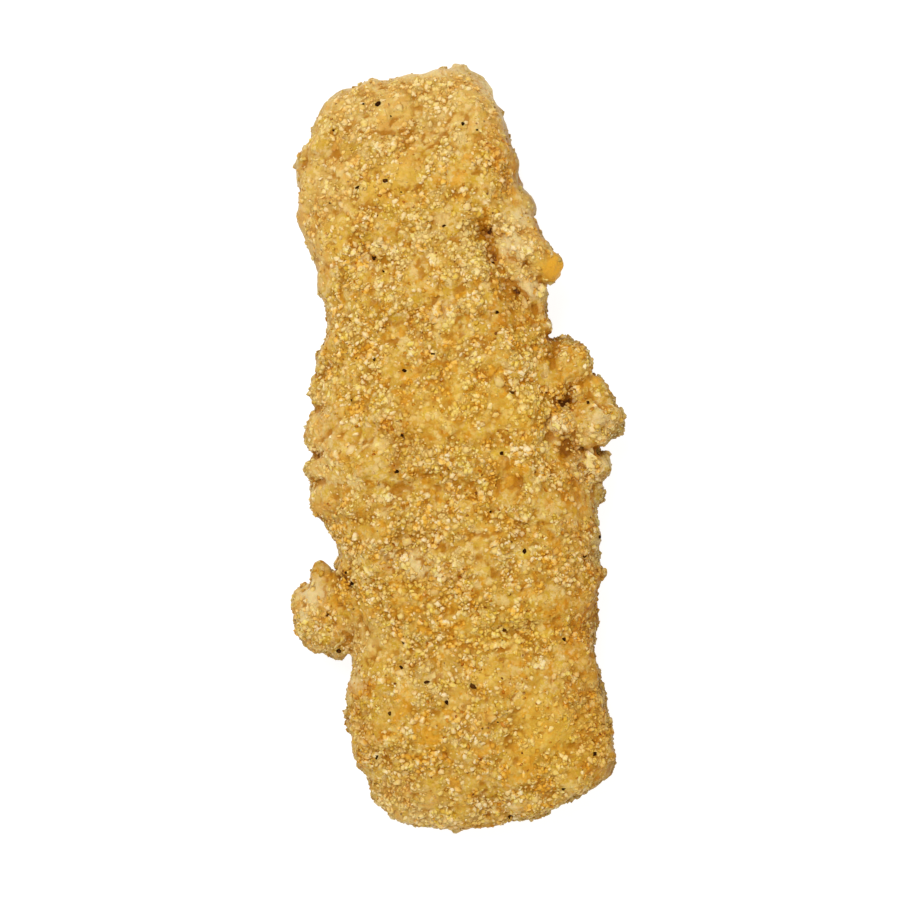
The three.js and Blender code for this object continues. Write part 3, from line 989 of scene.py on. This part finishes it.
def crumbTree():
    # crumbs scattered on a crust: each a grain of its own shape, size, turn and tone
    look = scatterLook
    tree, given = newTree("crumbScatter", crumbInputs)

    def drawn(low, high, step, kind="FLOAT"):
        # a random draw for each crumb
        output = 0 if kind == "FLOAT_VECTOR" else 1
        keys = (0, 1) if kind == "FLOAT_VECTOR" else (2, 3)
        inputs = {keys[0]: low, keys[1]: high, "Seed": given["seed"] * 10 + step}
        return addNode(tree, "FunctionNodeRandomValue", {"data_type": kind}, inputs, output)

    # few on the underside, on the yellow patches of egg and on the skirt
    height = axisOf(tree, addNode(tree, "GeometryNodeInputPosition"), "Z")
    share = given["leastCrowd"] + (1 - given["leastCrowd"]) * readMark(tree, "crowd")
    share = share * (1 - look["undersideLoss"] * (1 - height.rise(*look["sideRise"])))
    share = share * (1 - given["patchShare"] * (1 - readMark(tree, given["patch"])))
    share = share * (1 - look["eggLoss"] * readMark(tree, "eggBatter").rise(*look["eggRise"]))
    share = share * (1 - look["skirtLoss"] * readMark(tree, "skirt") ** 2.0)
    points = addNode(
        tree,
        "GeometryNodeDistributePointsOnFaces",
        {"distribute_method": "POISSON"},
        {
            "Mesh": given["Geometry"],
            "Distance Min": given["spacing"] * mm,
            "Density Max": given["perArea"] * 1e6,
            "Density Factor": share.atLeast(0.0).atMost(1.0),
            "Seed": given["seed"],
        },
    )
    spread = given["most"] - given["least"]
    radius = (given["least"] + spread * drawn(0.0, 1.0, 1) ** 2.0) * mm
    sunk = scaledVector(tree, points.out("Normal"), radius * given["sunk"] * -1)
    placed = addNode(tree, "GeometryNodeSetPosition", {}, {"Geometry": points, "Offset": sunk})
    toned = keepMark(tree, placed, "tone", drawn(0.0, 1.0, 2))
    ball = addNode(tree, "GeometryNodeMeshIcoSphere", {}, {"Radius": 1.0, "Subdivisions": 1})
    top = axisOf(tree, addNode(tree, "GeometryNodeInputPosition"), "Z")
    grain = keepMark(tree, ball, "crest", top)
    tilt = look["tilt"]
    angles = drawn((-tilt, -tilt, 0.0), (tilt, tilt, 2 * math.pi), 3, "FLOAT_VECTOR")
    turn = addNode(tree, "FunctionNodeEulerToRotation", {}, {0: angles})
    inputs = {0: points.out("Rotation"), 1: turn}
    turned = addNode(tree, "FunctionNodeRotateRotation", {"rotation_space": "LOCAL"}, inputs)
    sides = {
        "X": radius * drawn(look["shortest"], given["longest"], 4),
        "Y": radius * drawn(*look["breadth"], 5),
        "Z": radius * given["flatness"] * drawn(*look["thickness"], 6),
    }
    stretch = addNode(tree, "ShaderNodeCombineXYZ", {}, sides)
    inputs = {"Points": toned, "Instance": grain, "Rotation": turned, "Scale": stretch}
    laid = addNode(tree, "GeometryNodeInstanceOnPoints", {}, inputs)
    real = addNode(tree, "GeometryNodeRealizeInstances", {}, {"Geometry": laid})

    # every grain is knocked out of round by a noise of about its own size
    there = addNode(tree, "GeometryNodeInputPosition")
    scale = 1000 / (given["most"] * look["knockSize"])
    inputs = {"Vector": there, "Scale": scale, "Detail": 1.0}
    knock = centred(tree, addNode(tree, "ShaderNodeTexNoise", {}, inputs, "Color"))
    offset = scaledVector(tree, knock, given["most"] * look["knock"] * mm)
    knocked = addNode(tree, "GeometryNodeSetPosition", {}, {"Geometry": real, "Offset": offset})
    closeTree(tree, floored(tree, knocked, look["lowest"] * mm), given["material"], given["soft"])
    return tree


def finishOf(name, kind):
    # pepper is plain, and everything else has the colours that run through the batter
    dark = kind["slot"] == "pepper"
    finish = pepperFinish if dark else crumbFinish
    return makeCrumbMaterial(name + "Finish", kind["stops"], finish, not dark)


def makeCrumbs(tree, name, kind, seed):
    values = {**kind, "seed": seed, "material": finishOf(name, kind)}
    values["least"], values["most"] = kind["radius"]
    values["perArea"] = kind["perArea"] * 1
    return growFrom(crust, tree, values, name)


scatter = crumbTree()
pieces = {}
for seed, (name, kind) in enumerate(crumbKinds.items()):
    pieces[name] = makeCrumbs(scatter, name, kind, seed + 1)
    print(name, "made:", countTriangles(pieces[name]), "triangles")


# Grains that stand out one by one, laid at listed places: place on the fillet and width, in
# millimetres.
# A grain or clump has so many chips, each a ball knocked out of round
laidKinds = {
    "pepperSpecks": {
        "slot": "pepper",
        "chips": 1,
        "subdivisions": 1,
        "flatness": 0.5,
        "knock": 0.7,
        "raise": 0.15,
        "stops": [(0.0, (40, 20, 6)), (0.7, (58, 32, 10)), (1.0, (96, 56, 18))],
        "places": [
            (-6.0, 68.7, 1.1),
            (10.1, 62.8, 1.0),
            (12.8, 61.3, 0.6),
            (-11.6, 52.6, 1.1),
            (-5.9, 53.4, 1.1),
            (-9.9, 38.9, 1.0),
            (-8.3, 36.0, 0.8),
            (4.6, 43.3, 0.8),
            (12.9, 35.2, 0.8),
            (12.9, 25.5, 0.9),
            (-11.8, 19.0, 0.9),
            (-6.2, 16.3, 1.0),
            (-0.4, 18.9, 0.9),
            (14.1, 9.7, 1.0),
            (-7.8, 3.8, 0.8),
            (28.2, 6.2, 0.9),
            (-9.7, -3.0, 1.0),
            (10.9, -1.7, 0.9),
            (13.2, -21.0, 0.9),
            (24.4, -23.3, 0.9),
            (-21.6, -23.7, 1.2),
            (-27.4, -29.9, 1.0),
            (-26.3, -37.0, 1.2),
            (-12.5, -36.1, 0.9),
            (-13.5, -41.0, 0.8),
            (-8.6, -44.2, 0.9),
            (0.2, -46.0, 1.3),
            (7.5, -35.7, 1.2),
            (18.7, -38.9, 0.9),
            (-5.2, -48.6, 1.1),
            (-16.7, -49.7, 0.9),
            (-20.4, -58.0, 1.0),
            (21.9, -62.0, 1.0),
            (15.1, -68.1, 0.8),
            (3.9, -72.8, 1.2),
        ],
    },
    "orangeSpots": {
        "slot": "amber_crumbs",
        "chips": 2,
        "subdivisions": 2,
        "flatness": 0.35,
        "knock": 0.5,
        "raise": 0.0,
        "stops": [(0.0, (196, 118, 26)), (0.5, (212, 138, 38)), (1.0, (226, 158, 58))],
        "places": [
            (-13.6, 48.0, 1.3),
            (-1.1, 58.0, 1.2),
            (8.3, 13.3, 1.0),
            (-3.9, -12.5, 1.4),
            (-15.7, -7.9, 1.6),
            (-17.7, 27.4, 1.3),
            (-6.8, -26.9, 1.4),
            (10.5, -67.4, 1.3),
            (-5.4, -51.9, 1.3),
            (15.8, -46.7, 0.9),
            (-7.6, -32.7, 1.0),
        ],
    },
    "creamFlakes": {
        "slot": "pale_crumbs",
        "chips": 6,
        "subdivisions": 2,
        "flatness": 0.5,
        "knock": 0.8,
        "raise": 0.05,
        "stops": [(0.0, (226, 186, 112)), (0.5, (242, 214, 150)), (1.0, (250, 232, 188))],
        "places": [
            (-8.3, 41.2, 3.4),
            (-12.2, 38.0, 3.0),
            (-14.2, 41.0, 2.6),
            (-5.6, 39.6, 2.6),
            (-9.6, 33.6, 2.6),
            (-1.5, 45.9, 2.2),
            (-8.8, 64.1, 1.8),
            (-6.5, 60.5, 2.4),
            (0.7, 27.3, 2.8),
            (4.2, 26.6, 2.4),
            (8.9, 49.8, 2.2),
            (1.7, 36.9, 2.6),
            (0.2, -1.9, 2.6),
            (-11.9, -7.5, 2.6),
            (7.2, 4.2, 1.8),
            (13.4, -0.9, 1.8),
            (22.7, 3.0, 4.0),
            (27.0, -6.2, 4.2),
            (-4.5, -17.2, 3.0),
            (-10.7, -20.3, 2.6),
            (10.7, 18.1, 2.0),
            (-3.9, -23.8, 3.2),
            (20.8, -27.8, 2.4),
            (13.6, -43.2, 2.4),
            (6.2, -38.5, 2.2),
            (5.8, -68.6, 2.8),
            (-1.5, -70.0, 2.4),
            (10.1, -58.1, 2.0),
            (-13.2, -53.9, 1.8),
            (17.0, 41.0, 3.0),
            (19.5, 36.5, 3.2),
            (21.0, 28.5, 3.0),
        ],
    },
}


# How the chips of a clump lie and how grains differ, as shares of the width
grainLook = {
    "apart": (0.08, 0.42),
    "chipWidth": (0.3, 0.58),
    "length": (0.85, 1.3),
    "breadth": (0.7, 1.0),
    "bumps": 1.7,
    "jitter": 0.3,
}


def clumped(kind, draw):
    # each place as one grain, or as a clump of smaller ones that touch
    for x, y, width in kind["places"]:
        if kind["chips"] == 1:
            yield x, y, width
            continue
        for _ in range(kind["chips"]):
            turn, away = draw.uniform(0, 2 * math.pi), width * draw.uniform(*grainLook["apart"])
            chipWidth = width * draw.uniform(*grainLook["chipWidth"])
            yield x + away * math.cos(turn), y + away * math.sin(turn), chipWidth


def layGrains(name, kind, seed):
    # each grain is dropped on the crust from above, knocked out of round and turned at random
    draw = random.Random(seed)
    corners = [vert.co for vert in crust.data.vertices]
    ground = BVHTree.FromPolygons(corners, [face.vertices for face in crust.data.polygons])
    grains = bmesh.new()
    crest, tone = (grains.verts.layers.float.new(label) for label in ("crest", "tone"))
    ball = {"subdivisions": kind["subdivisions"], "radius": 1.0}
    for x, y, width in clumped(kind, draw):
        above, down = Vector((x * mm, y * mm, cadHigh.z * 2)), Vector((0, 0, -1))
        spot, normal = ground.ray_cast(above, down)[:2]
        spin = Euler((0, 0, draw.uniform(0, 2 * math.pi))).to_quaternion()
        turn = normal.to_track_quat("Z", "Y") @ spin
        half = width / 2 * mm
        length, breadth = draw.uniform(*grainLook["length"]), draw.uniform(*grainLook["breadth"])
        stretch = Vector((length, breadth, kind["flatness"])) * half
        lift = normal * (kind["raise"] * half)
        shade = draw.random()
        for vert in bmesh.ops.create_icosphere(grains, **ball)["verts"]:
            vert[crest], vert[tone] = vert.co.z, shade
            bump = noise.noise(vert.co * grainLook["bumps"] + Vector((x, y, 0)) * 3)
            swell = bump + draw.uniform(-grainLook["jitter"], grainLook["jitter"])
            knocked = vert.co * (1 + swell * kind["knock"])
            vert.co = spot + turn @ (knocked * stretch) + lift
    mesh = bpy.data.meshes.new(name)
    grains.to_mesh(mesh)
    grains.free()
    mesh.materials.append(finishOf(name, kind))
    piece = bpy.data.objects.new(name, mesh)
    bpy.context.scene.collection.objects.link(piece)
    return piece


for seed, (name, kind) in enumerate(laidKinds.items()):
    pieces[name] = layGrains(name, kind, seed + 1)
    print(name, "made:", countTriangles(pieces[name]), "triangles")


# The stage: a white table, soft light from the upper left and a camera overhead
stageSizes = {
    "tableSize": 3.0,
    "tableColour": (0.25, 0.25, 0.25, 1.0),
    "tableGlow": 0.88,
    "tableRoughness": 0.9,
    "skyColour": (1.0, 1.0, 1.0, 1.0),
    "skyStrength": 0.525,
}

stageLights = {
    "key": {"place": (-0.1, 0.36, 0.7), "size": 0.4, "power": 3.36, "colour": (1.0, 0.985, 0.96)},
    "fill": {"place": (0.25, -0.7, 0.65), "size": 0.9, "power": 1.65, "colour": (1.0, 0.86, 0.62)},
}

cameraSizes = {
    "lens": 120.0,
    "sensor": 36.0,
    "towardRight": 6.0,  # degrees from straight down, which shows a little of the right side
    "lean": 6.4,  # degrees that the fillet leans to the left in the picture
    "fill": 0.86,  # share of the picture's height that the fillet takes
    "target": (0.0, 0.0, 0.011),
}


def makeTable():
    half = stageSizes["tableSize"] / 2
    corners = [(-half, -half, 0), (half, -half, 0), (half, half, 0), (-half, half, 0)]
    mesh = bpy.data.meshes.new("table")
    mesh.from_pydata(corners, [], [(0, 1, 2, 3)])
    table = bpy.data.objects.new("table", mesh)
    bpy.context.scene.collection.objects.link(table)
    finish = {
        "Base Color": stageSizes["tableColour"],
        "Roughness": stageSizes["tableRoughness"],
        "Emission Color": stageSizes["skyColour"],
        "Emission Strength": stageSizes["tableGlow"],
    }
    mesh.materials.append(newMaterial("tableTop", finish)[0])
    return table


def makeLight(name, given):
    # a round soft light that looks at the middle of the fillet
    lamp = bpy.data.lights.new(name, "AREA")
    lamp.shape, lamp.size = "DISK", given["size"]
    lamp.energy, lamp.color = given["power"], given["colour"]
    light = bpy.data.objects.new(name, lamp)
    bpy.context.scene.collection.objects.link(light)
    light.location = given["place"]
    toward = Vector(cameraSizes["target"]) - light.location
    light.rotation_euler = toward.to_track_quat("-Z", "Y").to_euler()


def makeSky():
    world = bpy.data.worlds.new("studio")
    bpy.context.scene.world = world
    world.use_nodes = True
    sky = world.node_tree.nodes["Background"]
    sky.inputs["Color"].default_value = stageSizes["skyColour"]
    sky.inputs["Strength"].default_value = stageSizes["skyStrength"]


def makeCamera():
    lens = bpy.data.cameras.new("overhead")
    camera = bpy.data.objects.new("overhead", lens)
    bpy.context.scene.collection.objects.link(camera)
    lens.lens, lens.sensor_width = cameraSizes["lens"], cameraSizes["sensor"]
    tilt, lean = math.radians(cameraSizes["towardRight"]), math.radians(cameraSizes["lean"])
    back = Vector((math.sin(tilt), 0.0, math.cos(tilt)))
    shown = (cadHigh.y - cadLow.y) / cameraSizes["fill"]
    camera.location = Vector(cameraSizes["target"]) + back * (shown * lens.lens / lens.sensor_width)
    upward = Vector((math.sin(lean), math.cos(lean), 0.0))
    right = upward.cross(back).normalized()
    upward = back.cross(right)
    camera.rotation_mode = "QUATERNION"
    camera.rotation_quaternion = Matrix((right, upward, back)).transposed().to_quaternion()
    bpy.context.scene.camera = camera


table = makeTable()
makeSky()
for name, given in stageLights.items():
    makeLight(name, given)
makeCamera()
bpy.context.scene.view_settings.view_transform = "Standard"
print("stage made")

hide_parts("breaded_fillet")
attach(crust, "root")
for name, piece in pieces.items():
    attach(piece, "root")
